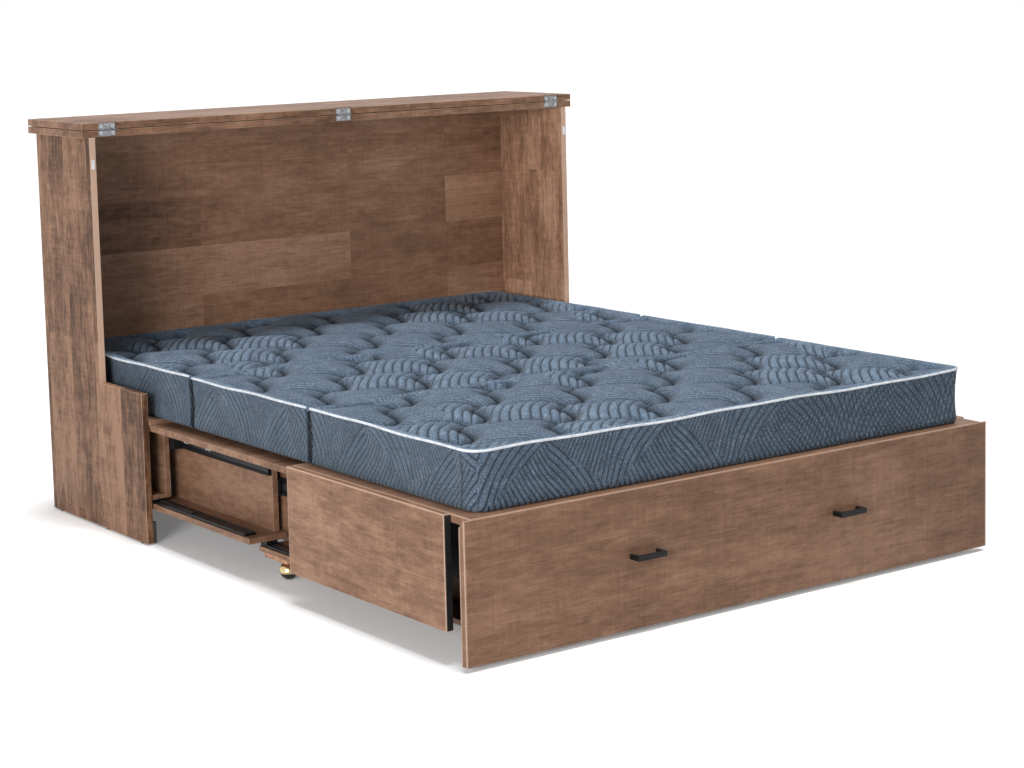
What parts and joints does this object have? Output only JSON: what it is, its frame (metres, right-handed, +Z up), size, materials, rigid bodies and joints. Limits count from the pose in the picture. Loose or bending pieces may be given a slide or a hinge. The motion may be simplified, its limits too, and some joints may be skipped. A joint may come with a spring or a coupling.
{
  "type": "cabinet bed",
  "caption": "Low wooden cabinet whose front pulls out on nested slides into a bed, with a folding top, a fold-down front panel and a folding mattress.",
  "frame": {"origin": "centre of the open bed's box, on the floor", "axes": "+X across the bed, +Y from the foot to the wall, +Z up"},
  "size_m": [1.666, 2.116, 1.124],
  "materials": {
    "stained_wood": "grey-brown stained maple, satin lacquer",
    "platform_wood": "stained plywood, satin lacquer",
    "bare_wood": "pale bare wood",
    "black_steel": "black coated steel",
    "bright_steel": "plated steel",
    "hood_brass": "polished brass",
    "black_rubber": "black rubber",
    "glide_nylon": "dark nylon",
    "mattress_cloth": "blue-grey heathered quilted knit"
  },
  "bodies": {
    "cabinet": {"left_side_panel": "stained_wood", "right_side_panel": "stained_wood", "back_panel": "stained_wood", "rear_top_leaf": "stained_wood", "top_hinge_rear_plates": "bright_steel", "top_hinge_pins": "bright_steel", "cabinet_glides": "glide_nylon", "closing_catches": "bright_steel", "foot_blocks": "stained_wood", "head_deck": "platform_wood", "deck_cleat": "platform_wood", "left_fixed_wall": "platform_wood", "right_fixed_wall": "platform_wood", "left_fixed_ledge": "platform_wood", "right_fixed_ledge": "platform_wood", "fixed_upper_slides": "black_steel", "fixed_lower_slides": "black_steel", "mattress_head": "mattress_cloth"},
    "top_flap": {"front_top_leaf": "stained_wood", "top_hinge_front_plates": "bright_steel"},
    "mid_section": {"mid_deck": "platform_wood", "left_mid_wall": "platform_wood", "right_mid_wall": "platform_wood", "left_mid_bottom_board": "platform_wood", "right_mid_bottom_board": "platform_wood", "mid_upper_slides": "black_steel", "mid_lower_slides": "black_steel", "mid_inner_slides": "black_steel", "mid_under_slides": "black_steel"},
    "front_section": {"footboard": "stained_wood", "left_front_wall": "platform_wood", "right_front_wall": "platform_wood", "left_front_bottom_board": "platform_wood", "right_front_bottom_board": "platform_wood", "front_rear_rail": "platform_wood", "front_side_slides": "black_steel", "front_lower_slides": "black_steel", "corner_brackets": "black_steel", "front_glides": "glide_nylon", "left_handle": "black_steel", "right_handle": "black_steel", "handle_screws": "bright_steel", "caster_blocks": "bare_wood", "panel_hinge_lower_cups": "bright_steel"},
    "folding_panel": {"front_panel": "stained_wood", "left_wing": "stained_wood", "right_wing": "stained_wood", "left_wing_strip": "black_rubber", "right_wing_strip": "black_rubber", "panel_battens": "platform_wood", "panel_hinge_upper_cups": "bright_steel"},
    "left_caster": {"left_caster_hood": "hood_brass", "left_caster_axle": "bright_steel"},
    "left_ball": {"left_caster_ball": "black_rubber"},
    "right_caster": {"right_caster_hood": "hood_brass", "right_caster_axle": "bright_steel"},
    "right_ball": {"right_caster_ball": "black_rubber"},
    "mattress_middle_body": {"mattress_middle": "mattress_cloth"},
    "mattress_foot_body": {"mattress_foot": "mattress_cloth"}
  },
  "joints": [
    {"name": "top_fold", "type": "hinge", "parent": "cabinet", "child": "top_flap", "pos_m": [0, 0.71125, 1.104], "axis": [1, 0, 0], "range_deg": [0, 180]},
    {"name": "mid_slide", "type": "slide", "parent": "cabinet", "child": "mid_section", "axis": [0, 1, 0], "range_m": [0, 0.46]},
    {"name": "mattress_fold", "type": "hinge", "parent": "cabinet", "child": "mattress_middle_body", "pos_m": [0, 0.286, 0.488], "axis": [-1, 0, 0], "range_deg": [0, 180]},
    {"name": "mattress_end_fold", "type": "hinge", "parent": "mattress_middle_body", "child": "mattress_foot_body", "pos_m": [0, -0.306, 0.3376], "axis": [-1, 0, 0], "range_deg": [-180, 0]},
    {"name": "front_slide", "type": "slide", "parent": "mid_section", "child": "front_section", "axis": [0, 1, 0], "range_m": [0, 0.48]},
    {"name": "panel_fold", "type": "hinge", "parent": "front_section", "child": "folding_panel", "pos_m": [0, -1.026, 0.338], "axis": [1, 0, 0], "range_deg": [0, 90]},
    {"name": "left_caster_swivel", "type": "hinge", "parent": "front_section", "child": "left_caster", "pos_m": [-0.7, -0.084, 0.05], "axis": [0, 0, 1], "continuous": true},
    {"name": "left_ball_roll", "type": "hinge", "parent": "left_caster", "child": "left_ball", "pos_m": [-0.7, -0.084, 0.022], "axis": [1, 0, 0], "continuous": true},
    {"name": "right_caster_swivel", "type": "hinge", "parent": "front_section", "child": "right_caster", "pos_m": [0.7, -0.084, 0.05], "axis": [0, 0, 1], "continuous": true},
    {"name": "right_ball_roll", "type": "hinge", "parent": "right_caster", "child": "right_ball", "pos_m": [0.7, -0.084, 0.022], "axis": [1, 0, 0], "continuous": true}
  ],
  "couplings": [
    {"joint": "mattress_end_fold", "follows": "mattress_fold", "ratio": -1},
    {"joint": "panel_fold", "follows": "mattress_fold", "ratio": 0.5},
    {"joint": "front_slide", "follows": "mattress_fold", "m_per_rad": 0.1527}
  ]
}
